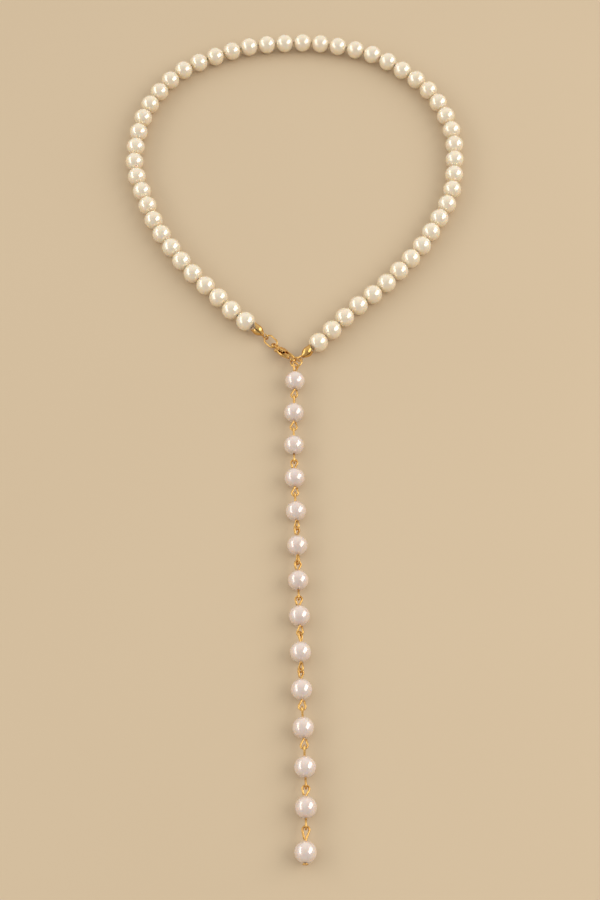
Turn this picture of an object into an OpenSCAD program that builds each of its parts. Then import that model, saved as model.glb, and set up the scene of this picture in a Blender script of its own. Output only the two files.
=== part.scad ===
// A necklace of pearls with one long drop of linked pearls, lying on a flat surface.
// The surface is z = 0, the top of the loop points to +Y and the drop runs along -Y.

/* [Pearls] */
// Diameter of every pearl
pearl_d = 8; // [7.9:0.05:8.1]
// Clear gap between neighbouring pearls of the loop
pearl_gap = 0.16; // [0.14:0.02:0.2]
// Bore through the pearls of the loop
strand_bore_d = 1; // [0.9:0.1:1.4]
// Thread through the pearls of the loop
thread_d = 0.5; // [0.3:0.05:0.5]
// Bore through the pearls of the drop
drop_bore_d = 1.2; // [1.1:0.1:1.6]

/* [Loop] */
// Pearls on each side of the loop
side_pearls = 27; // [27:1:27]
// Left end of the strand, across and up from the work point
strand_start = [-17, 33.4]; // [-40:0.1:40]
// Heading of the strand as it leaves its left end, in degrees from +X
strand_heading = 140; // [139:0.1:141]
// How far the strand wanders from its even line
strand_wander = 0.3; // [0:0.05:0.5]

/* [Drop] */
// First pearl of the drop, across and up from the work point
drop_start = [0.2, 7.6]; // [-40:0.1:40]
// Wire of the links
link_wire_d = 0.8; // [0.7:0.05:0.8]
// Radius of a link's eye, to the middle of its wire
eye_r = 1.25; // [1.2:0.05:1.3]
// Distance from a pearl to the far end of an eye, to the middle of its wire
eye_reach = 3.87; // [3.85:0.01:3.89]
// Extra length of the top eye that holds the end ring
first_eye_extra = 0.5; // [0.45:0.05:0.55]
// Extra length of the loop above the last pearl
last_eye_extra = 1.2; // [1.15:0.05:1.25]
// Disc on the foot of the last link
foot_disc_d = 2.1; // [1.8:0.1:2.4]

/* [Findings] */
// Wire of the oval ring
oval_wire_d = 0.7; // [0.65:0.05:0.75]
// Wire of the end ring
end_wire_d = 0.65; // [0.6:0.05:0.7]
// Radius of the end ring's rounded ends, to the middle of its wire
end_ring_r = 2.28; // [2.26:0.02:2.3]
// Wall of a bead tip's shell
tip_wall = 0.35; // [0.3:0.05:0.4]
// Wire of a bead tip's loop
tip_wire_d = 0.6; // [0.55:0.05:0.65]

/* [Clasp] */
// Radius of the clasp's round body
clasp_body_r = 1.85; // [1.8:0.05:1.9]
// Thickness of the clasp's body
clasp_thickness = 2.2; // [2.1:0.05:2.2]
// Bar of the clasp's hook
hook_bar_d = 0.9; // [0.85:0.05:0.9]
// Thickness of the lever
lever_thickness = 1.1; // [1:0.05:1.1]
// Pin that the lever turns on
pin_d = 0.8; // [0.7:0.05:0.8]
// Clearance round the pin and beside the lever
clasp_clearance = 0.1; // [0.08:0.01:0.1]

/* [Hidden] */
drop_count = 14;
function numbered(name, k) = str(name, k < 9 ? "_0" : "_", k + 1);
drop_nodes = [for (k = [0 : drop_count - 1]) numbered("drop_pearl", k)];
link_nodes = [for (k = [0 : drop_count - 1]) numbered("drop_link", k)];

cream = "antiquewhite";
blush = "lavenderblush";
gold = "goldenrod";
thread_colour = "ivory";

pearl_r = pearl_d / 2;
pearl_count = 2 * side_pearls;
strand_pitch = pearl_d + pearl_gap;

// Turns of the strand's equal stretches, from its left end over the top to its right end, in degrees
stretch_turns = [-13, -20, -38, -47, -25, -35, -44, -33, -21, 3];
stretch_count = len(stretch_turns);
stretch_length = pearl_count * strand_pitch / stretch_count;

// The chain of the drop, a row for each pearl: where its link meets the next one below, how far its
// upper eye is rolled, and how far its lower eye is rolled, where 0 is an eye that lies flat
meets = 0;
upper_roll = 1;
lower_roll = 2;
drop_table = [
    [[-0.1, 0.2], -39.7, 10],
    [[-0.3, -14.6], 95, 0],
    [[0, -29.2], 90, 90],
    [[0.3, -43.5], 0, 0],
    [[1, -58.05], 90, 50],
    [[1.4, -72.65], -45, 65],
    [[1.75, -87.05], -25, 90],
    [[2.3, -101.4], 0, 30],
    [[2.55, -115.85], 120, 50],
    [[3.05, -130.45], -45, 0],
    [[3.8, -144.95], 90, 0],
    [[4.35, -159.55], 90, 90],
    [[4.35, -174.15], 0, 90],
    [[4.2, -182.7], 0, 0]];

// Bead tips: body, neck and loop
tip_seat_gap = 0.35;
tip_loop_r = 1.15;
tip_loop_at = 6.25;
tip_loop_sweep = 325;
tip_neck_at = 4.8;
tip_neck_r = 0.55;
tip_slit = 0.25;
tip_slit_length = 3.4;
tip_mouth_bite_r = 1.6;
tip_mouth_bite_at = -1;

// Outline of a bead tip's shell, a row for each ring: distance from the mouth and outer radius
tip_outline = [[0, 1.8], [0.45, 1.72], [1.1, 1.95], [1.9, 2.1], [2.7, 1.98], [3.5, 1.58], [4.3, 1],
    [5, 0.6]];
tip_outline_last = len(tip_outline) - 1;

// Where the findings lie: place, heading in the plane, climb and roll, in degrees
left_tip_heading = -36.7;
left_tip_climb = -18.4;
left_tip_roll = 30;
right_tip_heading = 226.5;
right_tip_climb = -2.4;
right_tip_roll = -55;
clasp_at = [-8.04, 25.56, 1.65];
clasp_heading = -42.8;
clasp_climb = 7;
clasp_roll = -38.7;
oval_at = [-9.82, 27.56, 1.79];
oval_heading = -45;
oval_climb = -0.7;
oval_roll = 18.9;
oval_r = 1.85;
oval_straight = 2.22;
end_ring_at = [0.75, 16.4, 3.84];
end_ring_heading = -57.7;
end_ring_climb = 15.9;
end_ring_roll = 10.8;
end_ring_straight = 0.32;

// How far each bead tip's loop is turned from its shells
left_loop_turn = 41.1;
right_loop_turn = -16.2;

// Clasp: places along and across its own axis, from the middle of its eye
eye_ring_r = 1.3;
eye_ring_wire_d = 0.8;
collar_at = 1.5;
collar_d = 1.7;
collar_length = 1.2;
body_at = [4.3, -0.1];
pivot_at = [4.2, -0.6];
hook_at = [10.3, -0.35];
hook_r = 1.4;
hook_join = 75;
spine_r = 8;
spine_end = 113;
hook_overlap = 8;
hook_tip_r = 0.55;
spine_bar_d = 1.15;
lever_hub_r = 1;
lever_tip_at = [9.1, -1.7];
lever_tip_r = 0.5;
knob_at = [3.1, -3];
knob_r = 0.8;
slot_left = 2;
slot_right = 9;
slot_floor = 0.65;
slot_hub_gap = 0.25;
slot_thickness = lever_thickness + 2 * clasp_clearance;

// Outline of the lever: from its pivot along the inner side to its tip, and back round the outer side
lever_outline = [[4.2, 0.15], [6, -0.3], [9.1, -1.3], [9.2, -2], [8.7, -2.8], [7.7, -3.45], [6.5, -3.8],
    [5.2, -3.85], [4, -3.6], [3, -3.1], [2.6, -2.6], [2.9, -1.6], [3.5, -0.8]];

// Thread ends: knots inside the bead tips, as distance from the mouth and radius
knot_table = [[0.7, 0.25], [0.95, 0.7], [1.6, 0.8], [2.1, 0.35]];

wire_sides = 6;
foot_sides = 12;
wire_bend_step = 24;
round_detail = 48;
fine_detail = 24;

// Strand route

function sum_turns(n) = n == 0 ? 0 : sum_turns(n - 1) + stretch_turns[n - 1];
function stretch_heading(n) = strand_heading + sum_turns(n);
function along_heading(h) = [cos(h), sin(h)];
function chord(run, turn) = abs(turn) < 0.001 ? run : run * sin(turn / 2) * 360 / (PI * turn);
function stretch_start(n) = n == 0
    ? strand_start
    : stretch_start(n - 1) + chord(stretch_length, stretch_turns[n - 1])
        * along_heading(stretch_heading(n - 1) + stretch_turns[n - 1] / 2);
stretch_starts = [for (n = [0 : stretch_count - 1]) stretch_start(n)];

function stretch_of(s) = min(floor(s / stretch_length), stretch_count - 1);
function turned_by(s) = let (n = stretch_of(s)) stretch_turns[n] * (s / stretch_length - n);
function heading_at(s) = stretch_heading(stretch_of(s)) + turned_by(s);
function route_at(s) = let (n = stretch_of(s))
    stretch_starts[n] + chord(s - n * stretch_length, turned_by(s))
        * along_heading(stretch_heading(n) + turned_by(s) / 2);
function wander_at(k) = k == 0 || k == pearl_count
    ? 0
    : strand_wander * (sin(97 * k) + 0.7 * sin(61 * k + 40));

// The points where neighbouring pearls meet, and the pearls between them
meeting_points = [for (k = [0 : pearl_count])
    let (s = k * strand_pitch, h = heading_at(s)) route_at(s) + wander_at(k) * [-sin(h), cos(h)]];
function strand_pearl_at(k) = (meeting_points[k] + meeting_points[k + 1]) / 2;
function strand_pearl_heading(k) =
    let (d = meeting_points[k + 1] - meeting_points[k]) atan2(d[1], d[0]);

// Drop route

function next_below(k) = drop_table[k][meets];
function above(k) = k == 0 ? drop_start : next_below(k - 1);
function drop_heading(k) = let (d = next_below(k) - above(k)) atan2(d[1], d[0]);
function drop_pearl_at(k) = k == 0
    ? drop_start
    : k == drop_count - 1 ? next_below(k) : (above(k) + next_below(k)) / 2;

// The middle of the whole necklace's box, which becomes the origin

foot_disc_lift = 0.1;
foot_disc_thickness = 0.35;
foot_at = drop_pearl_at(drop_count - 1)
    + (pearl_r + foot_disc_lift + foot_disc_thickness) * along_heading(drop_heading(drop_count - 1));
strand_x = [for (k = [0 : pearl_count - 1]) strand_pearl_at(k)[0]];
strand_y = [for (k = [0 : pearl_count - 1]) strand_pearl_at(k)[1]];
box_low = [min(strand_x) - pearl_r, foot_at[1]];
box_high = [max(strand_x) + pearl_r, max(strand_y) + pearl_r];
box_middle = (box_low + box_high) / 2;

// Placing

module lying() {
    translate([-box_middle[0], -box_middle[1], 0]) children();
}

module aimed(at, heading, climb = 0, roll = 0) {
    translate(at) rotate([0, -climb, heading]) rotate([roll, 0, 0]) children();
}

module in_clasp() {
    aimed(clasp_at, clasp_heading, clasp_climb, clasp_roll) children();
}

// Bent wire: a wire is a list of frames [place, forward, side, up, rolled], and a bend is a row
// [straight run, bend radius, bend angle] that turns towards the side

function aimed_frame(at, heading, climb, roll) = let (
    forward = [cos(heading) * cos(climb), sin(heading) * cos(climb), sin(climb)],
    side = [-sin(heading), cos(heading), 0],
    up = cross(forward, side))
    [at, forward, side * cos(roll) + up * sin(roll), up * cos(roll) - side * sin(roll), roll];
function run_on(f, run) = [f[0] + run * f[1], f[1], f[2], f[3], f[4]];
function bend_on(f, radius, angle) = let (
    reach = sign(angle) * radius,
    middle = f[0] + reach * f[2],
    side = f[2] * cos(angle) - f[1] * sin(angle))
    [middle - reach * side, f[1] * cos(angle) + f[2] * sin(angle), side, f[3], f[4]];
function bent_row(f, row) = let (
    start = run_on(f, row[0]),
    steps = ceil(abs(row[2]) / wire_bend_step))
    concat([start], [for (n = [1 : 1 : steps]) bend_on(start, row[1], row[2] * n / steps)]);
function last_of(list) = list[len(list) - 1];
function bent_wire(f, rows, n = 0) = n == len(rows)
    ? []
    : let (part = bent_row(f, rows[n])) concat(part, bent_wire(last_of(part), rows, n + 1));

function wire_ring(f, r, hand = 1, sides = wire_sides) = [for (n = [0 : sides - 1])
    let (t = hand * n * 360 / sides - f[4]) f[0] + r * (cos(t) * f[2] + sin(t) * f[3])];

module tube(rings) {
    last_ring = len(rings) - 1;
    sides = len(rings[0]);
    polyhedron(
        points = [for (ring = rings) for (p = ring) p],
        faces = concat(
            [[for (n = [0 : sides - 1]) n]],
            [for (i = [0 : last_ring - 1]) for (n = [0 : sides - 1])
                let (m = (n + 1) % sides)
                [i * sides + n, (i + 1) * sides + n, (i + 1) * sides + m, i * sides + m]],
            [[for (n = [sides - 1 : -1 : 0]) last_ring * sides + n]]));
}

// Pearls

module drilled_pearl(bore_d) {
    rotate([0, 90, 0]) rotate_extrude($fn = round_detail) intersection() {
        circle(d = pearl_d, $fn = round_detail);
        translate([bore_d / 2, -pearl_d]) square([pearl_d, 2 * pearl_d]);
    }
}

module pearl_strand(first) {
    color(cream) lying() for (k = [first : first + side_pearls - 1])
        aimed(concat(strand_pearl_at(k), pearl_r), strand_pearl_heading(k))
            drilled_pearl(strand_bore_d);
}

module drop_pearl(k) {
    color(blush) lying() aimed(concat(drop_pearl_at(k), pearl_r), drop_heading(k))
        drilled_pearl(drop_bore_d);
}

// Thread: a ring at each meeting point, square to the mean of the two bores, and a knot in each bead tip

function meeting_heading(k) = k == 0
    ? strand_pearl_heading(0)
    : k == pearl_count
        ? strand_pearl_heading(pearl_count - 1)
        : (let (a = strand_pearl_heading(k - 1), b = strand_pearl_heading(k))
            a + ((b - a + 540) % 360 - 180) / 2);
function knot_frames(at, heading, climb) = [for (row = knot_table)
    concat([run_on(aimed_frame(at, heading, climb, 0), row[0])], [row[1]])];
left_mouth = concat(meeting_points[0], pearl_r);
right_mouth = concat(meeting_points[pearl_count], pearl_r);
thread_rings = concat(
    [for (n = [len(knot_table) - 1 : -1 : 0])
        let (k = knot_frames(left_mouth, left_tip_heading, left_tip_climb)[n])
        wire_ring(aimed_frame(k[0][0], left_tip_heading + 180, -left_tip_climb, 0), k[1])],
    [for (k = [0 : pearl_count])
        wire_ring(aimed_frame(concat(meeting_points[k], pearl_r), meeting_heading(k), 0, 0),
            thread_d / 2)],
    [for (k = knot_frames(right_mouth, right_tip_heading, right_tip_climb))
        wire_ring(k[0], k[1])]);

module strand_thread() {
    color(thread_colour) lying() tube(thread_rings);
}

// Bead tips: a shell split into two halves, a neck and a loop

module tip_shell() {
    inner = [for (n = [0 : tip_outline_last - 1])
        [tip_outline[n][1] - tip_wall, tip_outline[n][0] - (n == 0 ? tip_wall : 0)]];
    rotate([0, 90, 0]) difference() {
        rotate_extrude($fn = round_detail) polygon(concat(
            [[0, 0]],
            [for (row = tip_outline) [row[1], row[0]]],
            [[0, tip_outline[tip_outline_last][0]]]));
        rotate_extrude($fn = round_detail) polygon(concat(
            [[0, -tip_wall]],
            inner,
            [[0, tip_outline[tip_outline_last - 1][0]]]));
    }
}

module bead_tip(loop_turn) {
    difference() {
        tip_shell();
        translate([-tip_wall, -tip_slit / 2, -pearl_r])
            cube([tip_slit_length + tip_wall, tip_slit, pearl_d]);
        translate([tip_mouth_bite_at, 0, 0])
            cylinder(r = tip_mouth_bite_r, h = pearl_d, center = true, $fn = fine_detail);
    }
    translate([tip_neck_at, 0, 0]) rotate([0, 90, 0])
        cylinder(r = tip_neck_r, h = tip_loop_at - tip_loop_r - tip_neck_at, $fn = fine_detail);
    rotate([loop_turn, 0, 0]) translate([tip_loop_at, 0, 0]) rotate([0, 0, 180])
        rotate_extrude(angle = tip_loop_sweep, $fn = round_detail)
            translate([tip_loop_r, 0]) circle(d = tip_wire_d, $fn = fine_detail);
}

module bead_tip_left() {
    color(gold) lying() aimed(left_mouth, left_tip_heading, left_tip_climb, left_tip_roll)
        translate([tip_seat_gap, 0, 0]) bead_tip(left_loop_turn);
}

module bead_tip_right() {
    color(gold) lying() aimed(right_mouth, right_tip_heading, right_tip_climb, right_tip_roll)
        translate([tip_seat_gap, 0, 0]) bead_tip(right_loop_turn);
}

// Rings

module half_ring(r, wire_d) {
    rotate([0, 0, -90]) rotate_extrude(angle = 180, $fn = round_detail)
        translate([r, 0]) circle(d = wire_d, $fn = fine_detail);
}

module long_ring(r, straight, wire_d) {
    half = straight / 2;
    translate([half, 0, 0]) half_ring(r, wire_d);
    translate([-half, 0, 0]) rotate([0, 0, 180]) half_ring(r, wire_d);
    for (side = [-r, r])
        translate([-half, side, 0]) rotate([0, 90, 0])
            cylinder(d = wire_d, h = straight, $fn = fine_detail);
}

module oval_ring() {
    color(gold) lying() aimed(oval_at, oval_heading, oval_climb, oval_roll)
        long_ring(oval_r, oval_straight, oval_wire_d);
}

module end_ring() {
    color(gold) lying() aimed(end_ring_at, end_ring_heading, end_ring_climb, end_ring_roll)
        long_ring(end_ring_r, end_ring_straight, end_wire_d);
}

// Clasp: a round body with an eye and a hook, and a lever on a pin

module bar_bend(at, r, from, to, bar_d) {
    translate(at) rotate([0, 0, from]) rotate_extrude(angle = to - from, $fn = round_detail)
        translate([r, 0]) circle(d = bar_d, $fn = fine_detail);
}

module hook() {
    bar_bend(hook_at, hook_r, -90, hook_join + hook_overlap, hook_bar_d);
    bar_bend(hook_at - (spine_r - hook_r) * along_heading(hook_join), spine_r, hook_join, spine_end,
        spine_bar_d);
    translate([hook_at[0], hook_at[1] - hook_r, 0]) sphere(r = hook_tip_r, $fn = round_detail);
}

module lever_slot() {
    linear_extrude(slot_thickness, center = true) {
        translate(pivot_at) circle(r = lever_hub_r + slot_hub_gap, $fn = round_detail);
        translate([slot_left, -pearl_r]) square([slot_right - slot_left, pearl_r + pivot_at[1]]);
        translate([pivot_at[0], -pearl_r]) square([slot_right - pivot_at[0], pearl_r + slot_floor]);
    }
}

module clasp_body() {
    color(gold) lying() in_clasp() {
        rotate_extrude($fn = round_detail)
            translate([eye_ring_r, 0]) circle(d = eye_ring_wire_d, $fn = fine_detail);
        translate([collar_at, 0, 0]) rotate([0, 90, 0])
            cylinder(d = collar_d, h = collar_length, $fn = fine_detail);
        difference() {
            union() {
                translate(concat(body_at, 0)) intersection() {
                    sphere(r = clasp_body_r, $fn = round_detail);
                    cube([pearl_d, pearl_d, clasp_thickness], center = true);
                }
                hook();
            }
            lever_slot();
            translate(pivot_at)
                cylinder(d = pin_d + clasp_clearance, h = pearl_d, center = true, $fn = fine_detail);
        }
    }
}

module clasp_pin() {
    color(gold) lying() in_clasp() translate(pivot_at)
        cylinder(d = pin_d, h = clasp_thickness, center = true, $fn = fine_detail);
}

module lever_disc(at, r) {
    translate(at) cylinder(r = r, h = lever_thickness, center = true, $fn = round_detail);
}

module clasp_lever() {
    color(gold) lying() in_clasp() difference() {
        union() {
            lever_disc(pivot_at, lever_hub_r);
            lever_disc(lever_tip_at, lever_tip_r);
            lever_disc(knob_at, knob_r);
            linear_extrude(lever_thickness, center = true) polygon(lever_outline);
        }
        translate(pivot_at)
            cylinder(d = pin_d + 2 * clasp_clearance, h = pearl_d, center = true, $fn = fine_detail);
    }
}

// Links of the drop: one wire through the pearl, bent to an eye at each end

eye_lead = 0.1;
eye_lead_r = 0.5;
eye_back_lean = 13;
eye_cut = 0.45;

function eye_rows(reach) = let (
    middle = reach - eye_r,
    spread = asin(eye_r / (middle - eye_lead)),
    leg = sqrt(pow(middle - eye_lead, 2) - eye_r * eye_r),
    corner = eye_lead_r * tan(spread / 2),
    back = (middle - eye_r * sin(eye_back_lean) - eye_cut) / cos(eye_back_lean))
    [[pearl_r + eye_lead - corner, eye_lead_r, -spread],
        [leg - corner, eye_r, 180 + spread + eye_back_lean],
        [back, 0, 0]];

function upper_reach(k) = k == 0
    ? eye_reach + first_eye_extra
    : k == drop_count - 1 ? eye_reach + last_eye_extra : eye_reach;

// The rings of the last link's lower end: the wire leaves the pearl and widens into the foot's disc
function foot_rings(start, sides) = let (
    near = run_on(start, pearl_r + foot_disc_lift),
    far = run_on(near, foot_disc_thickness))
    [wire_ring(near, link_wire_d / 2, 1, sides), wire_ring(near, foot_disc_d / 2, 1, sides),
        wire_ring(far, foot_disc_d / 2, 1, sides)];

module drop_link(k) {
    at = concat(drop_pearl_at(k), pearl_r);
    heading = drop_heading(k);
    is_last = k == drop_count - 1;
    sides = is_last ? foot_sides : wire_sides;
    upper = bent_wire(aimed_frame(at, heading + 180, 0, -drop_table[k][upper_roll]),
        eye_rows(upper_reach(k)));
    lower_start = aimed_frame(at, heading, 0, drop_table[k][lower_roll]);
    color(gold) lying() tube(concat(
        [for (n = [len(upper) - 1 : -1 : 0]) wire_ring(upper[n], link_wire_d / 2, -1, sides)],
        is_last
            ? foot_rings(lower_start, sides)
            : [for (f = bent_wire(lower_start, eye_rows(eye_reach))) wire_ring(f, link_wire_d / 2)]));
}

pearl_strand(0);  // pearl_strand_left
pearl_strand(side_pearls);  // pearl_strand_right
strand_thread();
bead_tip_left();
bead_tip_right();
oval_ring();
clasp_body();
clasp_pin();
clasp_lever();
end_ring();
for (k = [0 : drop_count - 1]) {
    drop_pearl(k);
    drop_link(k);
}
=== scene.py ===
"""A pearl necklace with a long linked drop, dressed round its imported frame.

A piece is modelled in millimetres, round its own work point. It is placed in metres, in the frame's axes.
"""

from __future__ import annotations

import logging
import math
from collections.abc import Callable, Sequence
from dataclasses import dataclass
from enum import Enum

import bpy
from mathutils import Matrix, Vector


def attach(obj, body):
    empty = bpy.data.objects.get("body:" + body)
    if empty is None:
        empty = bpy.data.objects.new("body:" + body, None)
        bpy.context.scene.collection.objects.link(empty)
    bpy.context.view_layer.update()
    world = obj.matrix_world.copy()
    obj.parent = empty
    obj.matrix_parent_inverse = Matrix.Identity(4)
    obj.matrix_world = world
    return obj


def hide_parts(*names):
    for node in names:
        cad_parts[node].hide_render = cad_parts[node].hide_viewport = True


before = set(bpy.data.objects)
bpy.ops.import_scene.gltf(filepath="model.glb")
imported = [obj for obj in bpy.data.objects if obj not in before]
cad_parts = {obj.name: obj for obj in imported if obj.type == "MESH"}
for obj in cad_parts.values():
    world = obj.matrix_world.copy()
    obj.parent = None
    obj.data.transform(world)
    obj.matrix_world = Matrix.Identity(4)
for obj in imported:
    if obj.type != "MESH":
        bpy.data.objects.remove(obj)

log = logging.getLogger("necklace")

Colour = tuple[float, float, float]
Triple = tuple[float, float, float]
Point = tuple[float, float]
Piece = bpy.types.Object
Material = bpy.types.Material

METRES = 0.001
COAT_INSET = 0.025
PEARL_TURN = 137.5
PULL = {"use_proportional_edit": True, "proportional_edit_falloff": "SMOOTH"}
NECKLACE_BODY = "necklace"
LEVER_BODY = "lever"


class Slot(Enum):
    """The record's material slots."""

    CREAM = "pearl_cream"
    BLUSH = "pearl_blush"
    GOLD = "gold"


class Side(Enum):
    """The two sides of the loop."""

    LEFT = "left"
    RIGHT = "right"


# Layout: the same route and places as the part's source


def along(heading: float) -> Vector:
    """Return the direction of a heading in the plane, in degrees from +X."""
    return Vector((math.cos(math.radians(heading)), math.sin(math.radians(heading))))


def turn_about(axis: str, angle: float) -> Matrix:
    """Return a turn about an axis, in degrees."""
    return Matrix.Rotation(math.radians(angle), 4, axis)


@dataclass(frozen=True)
class Pose:
    """Where a piece lies: its place in millimetres, and its heading, climb and roll in degrees."""

    at: Triple
    heading: float
    climb: float = 0.0
    roll: float = 0.0

    def matrix(self) -> Matrix:
        """Return the turn and shift that bring +X onto the heading."""
        return (
            Matrix.Translation(self.at)
            @ turn_about("Z", self.heading)
            @ turn_about("Y", -self.climb)
            @ turn_about("X", self.roll)
        )


@dataclass(frozen=True)
class DropRow:
    """One pearl of the drop: where its link meets the next, and the rolls of its two eyes."""

    meets: Point
    upper_roll: float
    lower_roll: float


@dataclass(frozen=True)
class Layout:
    """The lie of the necklace on the surface, in millimetres from the work point."""

    pearl_r: float = 4.0
    pearl_gap: float = 0.16
    side_pearls: int = 27
    strand_start: Point = (-17.0, 33.4)
    strand_heading: float = 140.0
    strand_wander: float = 0.3
    stretch_turns: tuple[float, ...] = (-13, -20, -38, -47, -25, -35, -44, -33, -21, 3)
    drop_start: Point = (0.2, 7.6)
    drop_rows: tuple[DropRow, ...] = (
        DropRow((-0.1, 0.2), -39.7, 10), DropRow((-0.3, -14.6), 95, 0), DropRow((0, -29.2), 90, 90),
        DropRow((0.3, -43.5), 0, 0), DropRow((1, -58.05), 90, 50), DropRow((1.4, -72.65), -45, 65),
        DropRow((1.75, -87.05), -25, 90), DropRow((2.3, -101.4), 0, 30), DropRow((2.55, -115.85), 120, 50),
        DropRow((3.05, -130.45), -45, 0), DropRow((3.8, -144.95), 90, 0), DropRow((4.35, -159.55), 90, 90),
        DropRow((4.35, -174.15), 0, 90), DropRow((4.2, -182.7), 0, 0),
    )

    @property
    def pearl_count(self) -> int:
        """The number of pearls in the loop."""
        return 2 * self.side_pearls

    @property
    def pitch(self) -> float:
        """The distance from one pearl of the loop to the next."""
        return 2 * self.pearl_r + self.pearl_gap

    def _chord(self, run: float, turn: float) -> float:
        """Return the straight distance across an arc of a given length and turn."""
        if abs(turn) < 0.001:
            return run
        return run * math.sin(math.radians(turn / 2)) * 2 / math.radians(turn)

    def meeting_points(self) -> list[Vector]:
        """Return the points where the loop's neighbouring pearls meet, from its left end."""
        length = self.pearl_count * self.pitch / len(self.stretch_turns)
        starts = [Vector(self.strand_start)]
        headings = [self.strand_heading]
        for turn in self.stretch_turns:
            starts.append(starts[-1] + self._chord(length, turn) * along(headings[-1] + turn / 2))
            headings.append(headings[-1] + turn)
        points = []
        for k in range(self.pearl_count + 1):
            n = min(int(k * self.pitch / length), len(self.stretch_turns) - 1)
            share = k * self.pitch / length - n
            turned = self.stretch_turns[n] * share
            point = starts[n] + self._chord(share * length, turned) * along(headings[n] + turned / 2)
            if 0 < k < self.pearl_count:
                wander = math.sin(math.radians(97 * k)) + 0.7 * math.sin(math.radians(61 * k + 40))
                point += self.strand_wander * wander * along(headings[n] + turned + 90)
            points.append(point)
        return points

    def strand_poses(self) -> list[Pose]:
        """Return the pose of each pearl of the loop, with its bore along the strand."""
        points = self.meeting_points()
        poses = []
        for near, far in zip(points, points[1:]):
            middle, way = (near + far) / 2, far - near
            poses.append(Pose((*middle, self.pearl_r), math.degrees(math.atan2(way.y, way.x))))
        return poses

    def drop_poses(self) -> list[Pose]:
        """Return the pose of each pearl of the drop, with its bore along the chain."""
        last = len(self.drop_rows) - 1
        above = Vector(self.drop_start)
        poses = []
        for k, row in enumerate(self.drop_rows):
            below = Vector(row.meets)
            way = below - above
            place = above if k == 0 else below if k == last else (above + below) / 2
            poses.append(Pose((*place, self.pearl_r), math.degrees(math.atan2(way.y, way.x))))
            above = below
        return poses

    def placing(self, foot_length: float = 0.45) -> Matrix:
        """Return the move from millimetres round the work point to the frame's metres.

        Args:
            foot_length: How far the last link stands out of the last pearl.

        Returns:
            A shift that centres the necklace's box, and the scale to metres.
        """
        poses = self.strand_poses()
        last = self.drop_poses()[-1]
        foot = Vector(last.at[:2]) + (self.pearl_r + foot_length) * along(last.heading)
        xs = [pose.at[0] for pose in poses]
        top = max(pose.at[1] for pose in poses) + self.pearl_r
        middle = Vector(((min(xs) + max(xs)) / 2, (top + foot.y) / 2, 0))
        return Matrix.Scale(METRES, 4) @ Matrix.Translation(-middle)


LAYOUT = Layout()
PLACING = LAYOUT.placing()


# Modelling


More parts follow.
